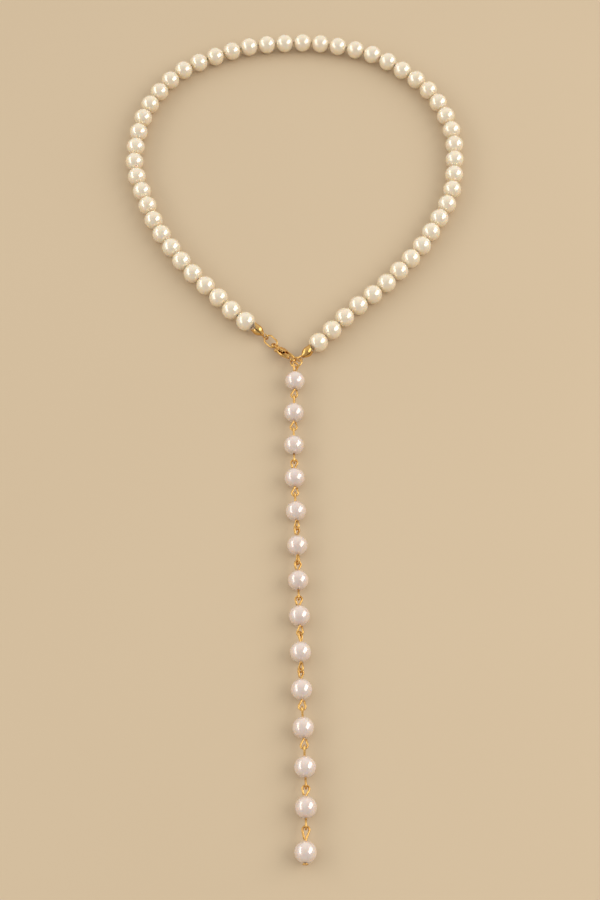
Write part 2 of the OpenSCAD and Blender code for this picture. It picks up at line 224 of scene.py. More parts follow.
class Bench:
    """The operators that shape a piece, used on one object at a time."""

    @staticmethod
    def clear() -> None:
        """Leave edit mode and deselect every object."""
        if bpy.context.object and bpy.context.object.mode != "OBJECT":
            bpy.ops.object.mode_set(mode="OBJECT")
        bpy.ops.object.select_all(action="DESELECT")

    @staticmethod
    def take(*pieces: Piece) -> None:
        """Select only these objects, and make the first one active."""
        Bench.clear()
        for piece in pieces:
            piece.select_set(True)
        bpy.context.view_layer.objects.active = pieces[0]

    @staticmethod
    def edit(piece: Piece, test: Callable[[Vector], bool] | None = None) -> None:
        """Edit one object with some of its points selected.

        Args:
            piece: The object to edit.
            test: Picks points by their place. Every point is selected if it is left out.
        """
        Bench.take(piece)
        mesh = piece.data
        picked = [test is None or test(point.co) for point in mesh.vertices]
        mesh.polygons.foreach_set("select", [False] * len(mesh.polygons))
        mesh.edges.foreach_set("select", [False] * len(mesh.edges))
        mesh.vertices.foreach_set("select", picked)
        bpy.context.tool_settings.mesh_select_mode = (True, False, False)
        bpy.ops.object.mode_set(mode="EDIT")

    @staticmethod
    def modify(piece: Piece, kind: str, **settings: object) -> None:
        """Add one modifier with its settings, and apply it."""
        Bench.take(piece)
        modifier = piece.modifiers.new(kind.title(), kind)
        for name, value in settings.items():
            setattr(modifier, name, value)
        bpy.ops.object.modifier_apply(modifier=modifier.name)

    @staticmethod
    def cut(piece: Piece, cutter: Piece) -> None:
        """Take one object's shape out of another, and remove the cutter."""
        Bench.modify(piece, "BOOLEAN", operation="DIFFERENCE", solver="EXACT", object=cutter)
        bpy.data.objects.remove(cutter)

    @staticmethod
    def join(pieces: Sequence[Piece], name: str) -> Piece:
        """Join several objects into one, and name it."""
        Bench.take(*pieces)
        if len(pieces) > 1:
            bpy.ops.object.join()
        joined = bpy.context.object
        joined.name = name
        return joined

    @staticmethod
    def copy(piece: Piece, move: Matrix) -> Piece:
        """Copy an object with a mesh of its own, and move that mesh."""
        twin = piece.copy()
        twin.data = piece.data.copy()
        twin.data.transform(move)
        bpy.context.scene.collection.objects.link(twin)
        return twin

    @staticmethod
    def settle(piece: Piece, merge: float = 0.0) -> None:
        """Merge a mesh's doubles if asked, and turn its faces outwards.

        Args:
            piece: The object to settle.
            merge: The distance under which two points become one. None merge at 0.
        """
        Bench.edit(piece)
        if merge:
            bpy.ops.mesh.remove_doubles(threshold=merge)
        bpy.ops.mesh.normals_make_consistent(inside=False)
        Bench.clear()

    @staticmethod
    def smooth(piece: Piece, angle: float = 40.0) -> None:
        """Shade an object smooth, except at edges sharper than an angle in degrees."""
        Bench.take(piece)
        bpy.ops.object.shade_smooth_by_angle(angle=math.radians(angle))

    @staticmethod
    def dress(
        piece: Piece, material: Material, slot: Slot, nodes: Sequence[str],
        move: Matrix | None = None, body: str = NECKLACE_BODY,
    ) -> Piece:
        """Place a finished piece, give it its material, and tie it to the frame.

        Args:
            piece: The finished object, in millimetres round its own work point.
            material: The material that covers it.
            slot: The record's slot that it would take its finish from; it is not used.
            nodes: The CAD nodes that it replaces.
            move: Where it goes, before the necklace is centred.
            body: The body that it rides on.

        Returns:
            The same object.
        """
        piece.data.transform(PLACING @ (move or Matrix.Identity(4)))
        piece.data.materials.clear()
        piece.data.materials.append(material)
        piece.data.name = piece.name
        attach(piece, body)
        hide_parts(*nodes)
        log.info("%s: %d faces, replaces %s", piece.name, len(piece.data.polygons), ", ".join(nodes))
        return piece


class BentWire:
    """A round wire that is drawn along +X from a start, and bent in the XY plane, +Y being left."""

    STEP = 12.0

    def __init__(
        self, name: str, radius: float, sides: int = 14, start: Point = (0.0, 0.0), heading: float = 0.0
    ):
        """Start the wire as one ring of points.

        Args:
            name: The object's name.
            radius: The wire's radius.
            sides: The number of points round the wire.
            start: Where it starts.
            heading: Its first direction, in degrees from +X.
        """
        Bench.clear()
        bpy.ops.mesh.primitive_circle_add(vertices=sides, radius=radius, location=(*start, 0))
        self.piece = bpy.context.object
        self.piece.name = name
        self.place = Vector((*start, 0))
        self.heading = heading
        turn = turn_about("Z", heading) @ Matrix.Rotation(math.pi / 2, 4, "Y")
        self.piece.data.transform(Matrix.Translation(self.place) @ turn)
        self.piece.location = (0, 0, 0)
        Bench.edit(self.piece)

    @property
    def way(self) -> Vector:
        """The direction in which the wire's end points."""
        return Vector((*along(self.heading), 0))

    @property
    def left(self) -> Vector:
        """The direction to the left of the wire's end."""
        return Vector((*along(self.heading + 90), 0))

    def run(self, length: float, swell: float = 1.0) -> BentWire:
        """Draw the wire straight on, and swell or shrink its end.

        Args:
            length: How far it runs.
            swell: What its end's radius is multiplied by.

        Returns:
            The wire itself.
        """
        step = self.way * length
        bpy.ops.mesh.extrude_region_move(TRANSFORM_OT_translate={"value": step})
        self.place += step
        if swell != 1.0:
            bpy.ops.transform.resize(value=(swell,) * 3, center_override=self.place)
        return self

    def bend(self, radius: float, angle: float, swell: float = 1.0) -> BentWire:
        """Bend the wire on, to the left for a positive angle, and swell or shrink it on the way.

        Args:
            radius: The bend's radius, to the middle of the wire.
            angle: How far it turns, in degrees.
            swell: What its radius is multiplied by over the bend.

        Returns:
            The wire itself.
        """
        hand = math.copysign(1.0, angle)
        centre = self.place + hand * radius * self.left
        steps = max(1, math.ceil(abs(angle) / self.STEP))
        step = math.radians(abs(angle) / steps)
        for _ in range(steps):
            bpy.ops.mesh.spin(steps=1, angle=step, center=centre, axis=(0, 0, -hand), dupli=False)
            self.heading += angle / steps
            self.place = centre - hand * radius * self.left
            if swell != 1.0:
                bpy.ops.transform.resize(value=(swell ** (1 / steps),) * 3, center_override=self.place)
        return self

    def ball(self, radius: float) -> BentWire:
        """Round the wire's end off in three short steps and close it.

        Args:
            radius: The wire's radius at its end.

        Returns:
            The wire itself.
        """
        done, width = 0.0, 1.0
        for angle in (30, 55, 75):
            reach = radius * math.sin(math.radians(angle))
            self.run(reach - done, math.cos(math.radians(angle)) / width)
            done, width = reach, math.cos(math.radians(angle))
        return self.cap()

    def cap(self) -> BentWire:
        """Close the wire's end with a face."""
        bpy.ops.mesh.edge_face_add()
        return self

    def cap_start(self) -> BentWire:
        """Close the open ring that the wire started from."""
        bpy.ops.mesh.select_all(action="SELECT")
        bpy.ops.mesh.region_to_loop()
        bpy.ops.mesh.edge_face_add()
        return self

    def done(self) -> Piece:
        """Leave edit mode and turn the faces outwards."""
        Bench.clear()
        Bench.settle(self.piece)
        return self.piece


# Shader maths


class Signal:
    """A shader socket whose operators add Math nodes."""

    def __init__(self, sheet: NodeSheet, socket: bpy.types.NodeSocket):
        """Wrap one output socket of a sheet's tree."""
        self.sheet = sheet
        self.socket = socket

    def math(self, operation: str, first: Value, second: Value = 0.0, clamp: bool = False) -> Signal:
        """Add one Math node.

        Args:
            operation: The node's operation.
            first: Its first value.
            second: Its second value.
            clamp: Whether the result is kept from 0 to 1.

        Returns:
            The node's result.
        """
        settings = {"operation": operation, "use_clamp": clamp}
        return self.sheet.node("ShaderNodeMath", settings, {0: first, 1: second})

    def __add__(self, other: Value) -> Signal:
        """Add a value."""
        return self.math("ADD", self, other)

    def __radd__(self, other: Value) -> Signal:
        """Add to a value."""
        return self.math("ADD", other, self)

    def __sub__(self, other: Value) -> Signal:
        """Subtract a value."""
        return self.math("SUBTRACT", self, other)

    def __rsub__(self, other: Value) -> Signal:
        """Subtract from a value."""
        return self.math("SUBTRACT", other, self)

    def __mul__(self, other: Value) -> Signal:
        """Multiply by a value."""
        return self.math("MULTIPLY", self, other)

    def __rmul__(self, other: Value) -> Signal:
        """Multiply a value."""
        return self.math("MULTIPLY", other, self)

    def clamped(self) -> Signal:
        """Keep the value from 0 to 1."""
        return self.math("ADD", self, 0.0, clamp=True)

    def between(self, low: float, high: float) -> Signal:
        """Stretch a range of the value onto 0 to 1, and keep it there.

        Args:
            low: What becomes 0.
            high: What becomes 1.

        Returns:
            The stretched value.
        """
        return ((self - low) * (1 / (high - low))).clamped()


Value = Signal | float


class NodeSheet:
    """One material's node tree, with the few ways in which its nodes are made."""

    def __init__(self, name: str):
        """Start a material with a Principled BSDF and an output."""
        self.material = bpy.data.materials.new(name)
        self.material.use_nodes = True
        self.tree = self.material.node_tree
        self.tree.nodes.clear()
        self.shader = self.tree.nodes.new("ShaderNodeBsdfPrincipled")
        output = self.tree.nodes.new("ShaderNodeOutputMaterial")
        self.tree.links.new(self.shader.outputs[0], output.inputs[0])
        self.place = self.node("ShaderNodeTexCoord", {}, {}, "Object")

    def node(
        self, kind: str, settings: dict[str, object], inputs: dict[str | int, object], output: str | int = 0
    ) -> Signal:
        """Add one node.

        Args:
            kind: The node's type.
            settings: Its properties, set first.
            inputs: A value or a link for each named or numbered socket.
            output: The socket that is read.

        Returns:
            The chosen output.
        """
        node = self.tree.nodes.new(kind)
        for name, value in settings.items():
            setattr(node, name, value)
        for name, value in inputs.items():
            self._feed(node.inputs[name], value)
        return Signal(self, node.outputs[output])

    def _feed(self, socket: bpy.types.NodeSocket, value: object) -> None:
        """Link a signal to a socket, or set the socket's own value."""
        if isinstance(value, Signal):
            self.tree.links.new(value.socket, socket)
        elif isinstance(value, tuple) and len(value) == 3 and socket.type == "RGBA":
            socket.default_value = (*value, 1.0)
        else:
            socket.default_value = value

    def noise(self, scale: float, detail: float = 2.0, place: Signal | None = None) -> Signal:
        """Add a noise pattern on the piece's own coordinates.

        Args:
            scale: Waves in a metre.
            detail: How much finer noise it carries.
            place: Other coordinates to read.

        Returns:
            The noise, from 0 to 1.
        """
        inputs = {"Vector": place or self.place, "Scale": scale, "Detail": detail}
        return self.node("ShaderNodeTexNoise", {}, inputs)

    def stretched(self, scale: Triple, turn: Triple = (0, 0, 0)) -> Signal:
        """Return the piece's coordinates, turned and stretched."""
        return self.node("ShaderNodeMapping", {}, {"Vector": self.place, "Scale": scale, "Rotation": turn})

    def mix(self, share: Value, first: object, second: object) -> Signal:
        """Mix two colours.

        Args:
            share: The second colour's share.
            first: A colour or a link.
            second: A colour or a link.

        Returns:
            The mixed colour.
        """
        return self.node("ShaderNodeMix", {"data_type": "RGBA"}, {0: share, 6: first, 7: second}, 2)

    def bump(self, height: Signal, strength: float, distance: float) -> Signal:
        """Turn a height into a normal, with the distance in metres."""
        return self.node("ShaderNodeBump", {}, {"Height": height, "Strength": strength, "Distance": distance})

    def finish(self, **inputs: object) -> Material:
        """Set the shader's sockets, named with _ for each space, and return the material."""
        for name, value in inputs.items():
            self._feed(self.shader.inputs[name.replace("_", " ")], value)
        return self.material


# Finishes


@dataclass(frozen=True)
class PearlFinish:
    """The coat of an imitation pearl: cloudy colour, a soft metallic glow and a clear skin."""

    name: str
    light: Colour
    deep: Colour
    overtone: Colour
    tint: Colour
    glow: float = 0.26

    def material(self) -> Material:
        """Return the coat's material."""
        sheet = NodeSheet(self.name)
        bead = sheet.noise(46, 1).between(0.35, 0.65)
        cloud = sheet.noise(330, 3).between(0.3, 0.7)
        veil = sheet.noise(900, 4).between(0.25, 0.75)
        grain = sheet.noise(9000, 2)
        colour = sheet.mix(0.75 * cloud * bead, self.light, self.deep)
        colour = sheet.mix(0.35 * veil, colour, self.overtone)
        return sheet.finish(
            Base_Color=colour,
            Metallic=self.glow,
            Roughness=0.09 + 0.05 * cloud,
            Normal=sheet.bump(0.7 * cloud + 0.22 * veil + 0.08 * grain, 0.2, 0.00006),
            Subsurface_Weight=0.75,
            Subsurface_Radius=(1.0, 0.8, 0.55),
            Subsurface_Scale=0.004,
            Specular_IOR_Level=0.6,
            Coat_Weight=1.0,
            Coat_Roughness=0.03,
            Coat_IOR=1.52,
            Coat_Tint=self.tint,
        )


@dataclass(frozen=True)
class GoldFinish:
    """Gold plating: warm, glossy, with fine drawn scratches, and noise patches that are rougher and carry a
    dark painted shade that stands in for shaded crevices and dark reflections.
    """

    name: str
    light: Colour = (0.93, 0.6, 0.2)
    # deep: a dark brown painted shade, mixed in at the noise patches to stand in for shaded crevices and dark
    # reflections.
    deep: Colour = (0.32, 0.12, 0.02)
    roughness: float = 0.08

    def material(self) -> Material:
        """Return the plating's material."""
        sheet = NodeSheet(self.name)
        patch = sheet.noise(420, 3).between(0.35, 0.7)
        fine = sheet.noise(3600, 3).between(0.3, 0.7)
        drawn = sheet.noise(1.0, 3, sheet.stretched((9000, 1400, 2500), (0, 0, 0.6)))
        # Noise patches: the plating is rougher there, and the dark painted shade is mixed in there.
        dull_and_painted_shade = (0.6 * patch + 0.4 * fine).clamped()
        return sheet.finish(
            Base_Color=sheet.mix(0.7 * dull_and_painted_shade, self.light, self.deep),
            Metallic=1.0,
            Roughness=self.roughness + 0.14 * dull_and_painted_shade + 0.05 * drawn,
            Normal=sheet.bump(0.6 * drawn + 0.4 * fine, 0.18, 0.00002),
        )


@dataclass(frozen=True)
class ThreadFinish:
    """A pale twisted thread."""

    name: str
    light: Colour = (0.5, 0.4, 0.28)
    deep: Colour = (0.26, 0.19, 0.12)

    def material(self) -> Material:
        """Return the thread's material."""
        sheet = NodeSheet(self.name)
        plies = sheet.noise(1.0, 1, sheet.stretched((5200, 5200, 5200), (0.5, 0.6, 0.8)))
        fibre = sheet.noise(15000, 2)
        return sheet.finish(
            Base_Color=sheet.mix(plies.between(0.35, 0.65), self.deep, self.light),
            Roughness=0.75 + 0.15 * fibre,
            Normal=sheet.bump(0.7 * plies + 0.3 * fibre, 0.6, 0.00006),
        )


@dataclass(frozen=True)
class SurfaceFinish:
    """The plain pale surface that the necklace lies on."""

    name: str
    light: Colour = (0.655, 0.52, 0.345)
    deep: Colour = (0.625, 0.49, 0.32)

    def material(self) -> Material:
        """Return the surface's material."""
        sheet = NodeSheet(self.name)
        soft = sheet.noise(6, 2)
        tooth = sheet.noise(2600, 3)
        return sheet.finish(
            Base_Color=sheet.mix(soft, self.deep, self.light),
            Roughness=0.8,
            Specular_IOR_Level=0.25,
            Normal=sheet.bump(tooth, 0.08, 0.00005),
        )


# Pearls


@dataclass
class Pearl:
    """One drilled pearl with its bore along X."""

    radius: float
    bore_r: float
    segments: int = 48
    rim_ring: int = 2
    lip: float = 0.07
    lip_taper: float = 0.88

    def build(self, name: str) -> Piece:
        """Model the pearl: a ball opened at both ends, with soft rims and a bore.

        Args:
            name: The object's name.

        Returns:
            The pearl at the origin.
        """
        rim_angle = math.degrees(math.asin(self.bore_r / self.radius))
        rings = round(180 * self.rim_ring / rim_angle)
        Bench.clear()
        bpy.ops.mesh.primitive_uv_sphere_add(segments=self.segments, ring_count=rings, radius=self.radius)
        pearl = bpy.context.object
        pearl.name = name
        pearl.data.transform(Matrix.Rotation(math.pi / 2, 4, "Y"))
        Bench.edit(pearl, lambda p: math.hypot(p.y, p.z) < 0.75 * self.bore_r)
        bpy.ops.mesh.delete(type="VERT")
        for end in (-1, 1):
            Bench.edit(pearl, lambda p: math.hypot(p.y, p.z) < 1.2 * self.bore_r and p.x * end > 0)
            bpy.ops.mesh.extrude_region_move(TRANSFORM_OT_translate={"value": (-end * self.lip, 0, 0)})
            bpy.ops.transform.resize(value=(1, self.lip_taper, self.lip_taper), center_override=(0, 0, 0))
        Bench.edit(pearl, lambda p: math.hypot(p.y, p.z) < 0.95 * self.bore_r)
        bpy.ops.mesh.bridge_edge_loops()
        Bench.settle(pearl)
        Bench.smooth(pearl, 50)
        return pearl


@dataclass
class PearlStrand:
    """One side of the loop's strand of pearls."""

    side: Side
    finish: Material
    bore_r: float = 0.5

    def build(self) -> Piece:
        """Model one pearl, lay a copy at each place, and dress them as one piece."""
        first = 0 if self.side is Side.LEFT else LAYOUT.side_pearls
        model = Pearl(LAYOUT.pearl_r - COAT_INSET, self.bore_r).build("pearl_model")
        poses = LAYOUT.strand_poses()[first : first + LAYOUT.side_pearls]
        copies = []
        for k, pose in enumerate(poses):
            copies.append(Bench.copy(model, pose.matrix() @ turn_about("X", PEARL_TURN * k)))
        bpy.data.objects.remove(model)
        strand = Bench.join(copies, f"pearls_{self.side.value}")
        node = f"pearl_strand_{self.side.value}"
        return Bench.dress(strand, self.finish, Slot.CREAM, [node])


# Wire eyes, links and rings


@dataclass(frozen=True)
class EyeShape:
    """A teardrop eye bent at the end of a wire: it leaves along X, goes round, and comes back."""

    lead: float
    reach: float
    radius: float = 1.25
    corner_r: float = 0.5
    back_lean: float = 13.0
    cut: float = 0.35

    def draw(self, wire: BentWire, wire_r: float, start: float) -> BentWire:
        """Bend the eye at the end of a wire.

        Args:
            wire: The wire, which points along X at Y = 0.
            wire_r: The wire's radius.
            start: The wire's X, from which the first straight run is counted.

        Returns:
            The wire with its eye, cut off and closed.
        """
        middle = self.reach - self.radius
        span = middle - self.lead
        spread = math.degrees(math.asin(self.radius / span))
        corner = self.corner_r * math.tan(math.radians(spread / 2))
        leg = math.sqrt(span**2 - self.radius**2)
        lean = math.radians(self.back_lean)
        back = (middle - self.radius * math.sin(lean) - self.lead - self.cut) / math.cos(lean)
        wire.run(self.lead - start - corner).bend(self.corner_r, -spread).run(leg - corner)
        wire.bend(self.radius, 180 + spread + self.back_lean).run(back)
        return wire.run(0.12 * wire_r, 0.86).cap()


@dataclass
class Drop:
    """The drop: linked pearls, each on its own wire with an eye at both ends."""

    pearl_finish: Material
    wire_finish: Material
    bore_r: float = 0.6
    wire_r: float = 0.4
    lead: float = 0.1
    reach: float = 3.87
    first_extra: float = 0.5
    last_extra: float = 1.2
    foot_r: float = 1.05
    foot_lift: float = 0.1
    foot_thickness: float = 0.35
    foot_edge: float = 0.08
    inside: float = 1.0

    def _half(self, name: str, extra: float) -> Piece:
        """Model half of a link: the wire from inside the bore to the end of its eye."""
        r = LAYOUT.pearl_r
        wire = BentWire(name, self.wire_r, 14, (self.inside, 0))
        EyeShape(r + self.lead, r + self.reach + extra).draw(wire, self.wire_r, self.inside)
        return wire.done()

    def _foot(self) -> Piece:
        """Model the last link's lower half: a straight wire with a flat disc at its foot."""
        wire = BentWire("wire_foot", self.wire_r, 14, (self.inside, 0))
        flare, soft = self.foot_r / self.wire_r, self.foot_edge
        wire.run(LAYOUT.pearl_r + self.foot_lift - self.inside)
        wire.run(0.0, flare - soft / self.wire_r).run(soft, flare / (flare - soft / self.wire_r))
        wire.run(self.foot_thickness - 2 * soft).run(soft, 1 - soft / self.foot_r).run(0.0, 0.7).cap()
        return wire.done()

    def _link(self, k: int, upper: Piece, lower: Piece, pose: Pose) -> None:
        """Join the two halves of one link, lay it through its pearl, and dress it."""
        row = LAYOUT.drop_rows[k]
        halves = [
            Bench.copy(upper, Matrix.Rotation(math.pi, 4, "Z") @ turn_about("X", -row.upper_roll)),
            Bench.copy(lower, turn_about("X", row.lower_roll)),
        ]
        link = Bench.join(halves, f"link_wire_{k + 1:02d}")
        Bench.edit(link, lambda p: abs(p.x) < 1.01 * self.inside and math.hypot(p.y, p.z) < 1.1 * self.wire_r)
        bpy.ops.mesh.bridge_edge_loops()
        Bench.settle(link)
        Bench.smooth(link, 50)
        node = f"drop_link_{k + 1:02d}"
        Bench.dress(link, self.wire_finish, Slot.GOLD, [node], pose.matrix())

    def build(self) -> None:
        """Model one pearl and each kind of wire half, and dress a copy at each place."""
        pearl = Pearl(LAYOUT.pearl_r - COAT_INSET, self.bore_r).build("pearl_model")
        usual = self._half("wire_usual", 0.0)
        longer = {0: self._half("wire_first", self.first_extra)}
        poses = LAYOUT.drop_poses()
        last = len(poses) - 1
        longer[last] = self._half("wire_last", self.last_extra)
        foot = self._foot()
        for k, pose in enumerate(poses):
            copy = Bench.copy(pearl, turn_about("X", PEARL_TURN * k))
            node = f"drop_pearl_{k + 1:02d}"
            copy.name = f"{node}_coat"
            Bench.dress(copy, self.pearl_finish, Slot.BLUSH, [node], pose.matrix())
            self._link(k, longer.get(k, usual), foot if k == last else usual, pose)
        for model in (pearl, usual, foot, *longer.values()):
            bpy.data.objects.remove(model)


@dataclass
class JumpRing:
    """An oval ring bent from one wire, with a fine cut in one of its straight sides."""

    name: str
    node: str
    radius: float
    wire_r: float
    straight: float
    finish: Material
    move: Matrix
    cut: float = 0.05

    def build(self) -> Piece:
        """Bend the ring, close its cut ends and dress it."""
        half_run = self.straight / 2
        wire = BentWire(self.name, self.wire_r, 18, (self.cut / 2, -self.radius))
        wire.run(half_run - self.cut / 2).bend(self.radius, 180).run(self.straight)
        wire.bend(self.radius, 180).run(half_run - self.cut / 2)
        wire.cap().cap_start()
        ring = wire.done()
        Bench.smooth(ring, 50)
        return Bench.dress(ring, self.finish, Slot.GOLD, [self.node], self.move)


# Bead tips


@dataclass
class BeadTip:
    """A clamshell bead tip: two cupped shells, a neck and a wire loop.

    A row of the outline is a place along the tip and the shell's radius there. A row of the petals is the
    depth and the width of the points that it draws in, and how far.
    """

    side: Side
    pose: Pose
    loop_turn: float
    lip: float
    finish: Material
    seat: float = 0.35
    wall: float = 0.3
    wire_r: float = 0.3
    loop_r: float = 1.15
    loop_at: float = 6.25
    hinge_at: float = 5.0
    hinge_open: float = 1.2
    shell_shift: float = 0.13
    edge: float = 0.06
    corner_push: Point = (-0.22, 0.06)
    petals: tuple[Triple, ...] = ((0.05, 1.35, 0.3), (0.3, 1.0, 0.25), (0.05, 0.75, 0.12))
    neck_at: float = 4.5
    neck_r: float = 0.5
    outline: tuple[Point, ...] = (
        (0.0, 1.68), (0.25, 1.64), (0.6, 1.7), (1.1, 1.84), (1.6, 1.95), (2.1, 1.97),
        (2.7, 1.87), (3.3, 1.6), (3.8, 1.27), (4.2, 0.98), (4.6, 0.75), (5.0, 0.58),
    )

    def _shell(self) -> Piece:
        """Model one cupped shell: lathed, halved, horned at the mouth, and given its wall."""
        mouth, mouth_r = self.outline[0]
        wire = BentWire("shell", mouth_r, 40, (mouth, 0))
        before = self.outline[0]
        for row in self.outline[1:]:
            wire.run(row[0] - before[0], row[1] / before[1])
            before = row
        shell = wire.piece
        bpy.ops.mesh.select_all(action="SELECT")
        bpy.ops.mesh.bisect(plane_co=(0, 0, 0), plane_no=(0, 1, 0), clear_inner=True)
        for depth, width, push in self.petals:
            Bench.edit(shell, lambda p: p.x < depth + 0.55 and p.y < width and p.x < 1.0)
            bpy.ops.transform.translate(value=(push * (1 - depth), 0, 0))
        Bench.edit(shell, lambda p: p.x < 0.1 and p.y > 1.5)
        bpy.ops.transform.translate(value=(*self.corner_push, 0))
        Bench.settle(shell, 0.0005)
        hinge = Matrix.Translation((self.hinge_at, 0, 0)) @ turn_about("Z", -self.hinge_open)
        shell.data.transform(hinge @ Matrix.Translation((-self.hinge_at, self.shell_shift, 0)))
        Bench.modify(shell, "SUBSURF", levels=1, render_levels=1)
        Bench.modify(shell, "SOLIDIFY", thickness=self.wall, offset=-1.0)
        Bench.modify(shell, "BEVEL", width=self.edge, segments=2, angle_limit=math.radians(50))
        return shell

    def _lengthen(self, shells: Piece) -> None:
        """Draw the upper side of the mouth out towards the pearl that it holds."""
        up = along(90 - self.pose.roll)
        Bench.edit(shells, lambda p: p.x < 0.2 and p.y * up.x + p.z * up.y > 0.9)
        bpy.ops.transform.translate(value=(-self.lip, 0, 0), proportional_size=1.5, **PULL)
        Bench.clear()

    def _loop(self) -> Piece:
        """Model the neck and the wire loop that grows out of it."""
        wire = BentWire("loop", self.neck_r, 16, (self.neck_at, 0))
        wire.run(0.3, 0.85).run(0.2, 0.7)
        reach = self.loop_at + self.loop_r
        eye = EyeShape(5.08, reach, self.loop_r, corner_r=0.35, back_lean=16, cut=0.3)
        eye.draw(wire, self.wire_r, 5.0)
        wire.cap_start()
        loop = wire.done()
        loop.data.transform(turn_about("X", self.loop_turn))
        return loop

    def build(self) -> Piece:
        """Model the shells and the loop, join them, and dress the tip."""
        shell = self._shell()
        twin = Bench.copy(shell, Matrix.Rotation(math.pi, 4, "X"))
        tip = Bench.join([shell, twin], f"bead_tip_{self.side.value}_shells")
        self._lengthen(tip)
        tip = Bench.join([tip, self._loop()], tip.name)
        Bench.smooth(tip, 45)
        move = self.pose.matrix() @ Matrix.Translation((self.seat, 0, 0))
        node = f"bead_tip_{self.side.value}"
        return Bench.dress(tip, self.finish, Slot.GOLD, [node], move)


# Clasp


@dataclass
class Clasp:
    """The lobster clasp: an eye, a flattened body with a hook, a pin, and a lever with a thumb knob.

    A row of the collar is a run and how much its end swells. A hook bend is an angle and such a swell.
    """

    finish: Material
    pose: Pose = Pose((-8.04, 25.56, 1.65), -42.8, 7.0, -38.7)
    eye_r: float = 1.3
    eye_wire_r: float = 0.4
    eye_end: float = 1.5
    collar_at: float = 1.35
    collar_r: float = 0.45
    collar: tuple[Point, ...] = (
        (0.15, 1.5), (0.2, 1.22), (0.25, 1.02), (0.2, 0.86), (0.15, 1.0), (0.3, 1.35), (0.5, 1.3),
    )
    body_at: Point = (4.3, -0.1)
    body_r: float = 1.85
    half_thickness: float = 1.11
    flat_from: float = 0.8
    flat_depth: float = 0.2
    shoulder_from: Point = (5.0, 0.2)
    shoulder_push: Point = (0.5, 0.12)
    pivot: Point = (4.2, -0.6)
    pin_r: float = 0.4
    pin_gap: float = 0.06
    pin_hole_gap: float = 0.03
    pin_sink: float = 0.03
    pin_short: float = 0.3
    crown_r: float = 0.18
    crown_height: float = 0.05
    crown_swell: float = 1.7
    shoulder_r: float = 0.306
    shoulder_height: float = 0.07
    hub_r: float = 1.0
    slot_half: float = 0.82
    slot_left: float = 2.4
    slot_right: float = 9.0
    slot_low: float = -4.0
    slot_floor: float = 0.65
    slot_hub_gap: float = 0.25
    hook_at: Point = (10.3, -0.35)
    hook_r: float = 1.4
    hook_join: float = 75.0
    spine_r: float = 8.0
    spine_end: float = 113.0
    bar_r: float = 0.45
    root_r: float = 0.68
    root_at: Point = (5.5, 0.8)
    root_width: float = 1.35
    hook_bends: tuple[Point, ...] = ((-80, 1.06), (-85, 1 / 1.02))
    hook_end_r: float = 0.5
    lever_half: float = 0.52
    lever_outline: tuple[Point, ...] = (
        (4.2, 0.15), (6.0, -0.3), (8.4, -1.0), (9.5, -1.4), (9.72, -1.85), (8.9, -2.75), (7.7, -3.4),
        (6.5, -3.75), (5.2, -3.8), (4.0, -3.55), (3.0, -3.1), (2.6, -2.6), (2.9, -1.6), (3.5, -0.8),
    )
    edge_width: float = 0.26
    edge_rise: float = 0.06
    rim_width: float = 0.42
    dish: float = 0.3
    knob_at: Point = (3.1, -3.0)
    knob_r: float = 0.8
    hub_edge: float = 0.12
    knob_edge: float = 0.3
    grain: float = 0.075

    def _fuse(self, piece: Piece) -> None:
        """Fuse a piece's overlapping forms into one even skin."""
        Bench.modify(piece, "REMESH", mode="VOXEL", voxel_size=self.grain, use_smooth_shade=True)

    def _soften(self, piece: Piece) -> None:
        """Soften a fused skin like a cast and tumbled one."""
        Bench.modify(piece, "SMOOTH", factor=0.5, iterations=4)
        Bench.smooth(piece, 70)

    def _eye(self) -> Piece:
        """Model the eye as a ring, a little flattened where it meets the collar."""
        wire = BentWire("eye", self.eye_wire_r, 20, (0, -self.eye_r))
        wire.bend(self.eye_r, 360)
        eye = wire.done()
        Bench.settle(eye, 0.01)
        Bench.edit(eye, lambda p: p.x > self.eye_end)
        bpy.ops.transform.resize(value=(1, 1.2, 1.15), center_override=(self.eye_end, 0, 0))
        Bench.clear()
        return eye

    def _collar(self) -> Piece:
        """Model the beaded collar between the eye and the body."""
        wire = BentWire("collar", self.collar_r, 24, (self.collar_at, 0))
        for run, swell in self.collar:
            wire.run(run, swell)
        return wire.cap().cap_start().done()

    def _hook(self) -> Piece:
        """Model the hook: a spine that leaves the body, goes round the far end and points back."""
        centre = Vector(self.hook_at) - (self.spine_r - self.hook_r) * along(self.hook_join)
        start = centre + self.spine_r * along(self.spine_end)
        wire = BentWire("hook", self.root_r, 20, tuple(start), self.spine_end - 90)
        turn = self.spine_end - self.hook_join
        wire.bend(self.spine_r, -turn, self.bar_r / self.root_r)
        for angle, swell in self.hook_bends:
            wire.bend(self.hook_r, angle, swell)
        hook = wire.ball(self.hook_end_r).cap_start().done()
        Bench.edit(hook, lambda p: p.x < self.hook_at[0] - 0.5 and p.y > 0)
        bpy.ops.transform.resize(
            value=(1, 1, self.root_width), center_override=(*self.root_at, 0), proportional_size=2.0, **PULL
        )
        Bench.clear()
        return hook

    def _block(self, name: str, low: Triple, high: Triple) -> Piece:
        """Model a cutter: a block between two corners, with softened edges."""
        size = Vector(high) - Vector(low)
        Bench.clear()
        bpy.ops.mesh.primitive_cube_add(size=1)
        block = bpy.context.object
        block.name = name
        middle = (Vector(high) + Vector(low)) / 2
        block.data.transform(Matrix.Translation(middle) @ Matrix.Diagonal((*size, 1)))
        Bench.edit(block)
        bpy.ops.mesh.bevel(offset=0.12, segments=2, affect="EDGES")
        Bench.clear()
        return block

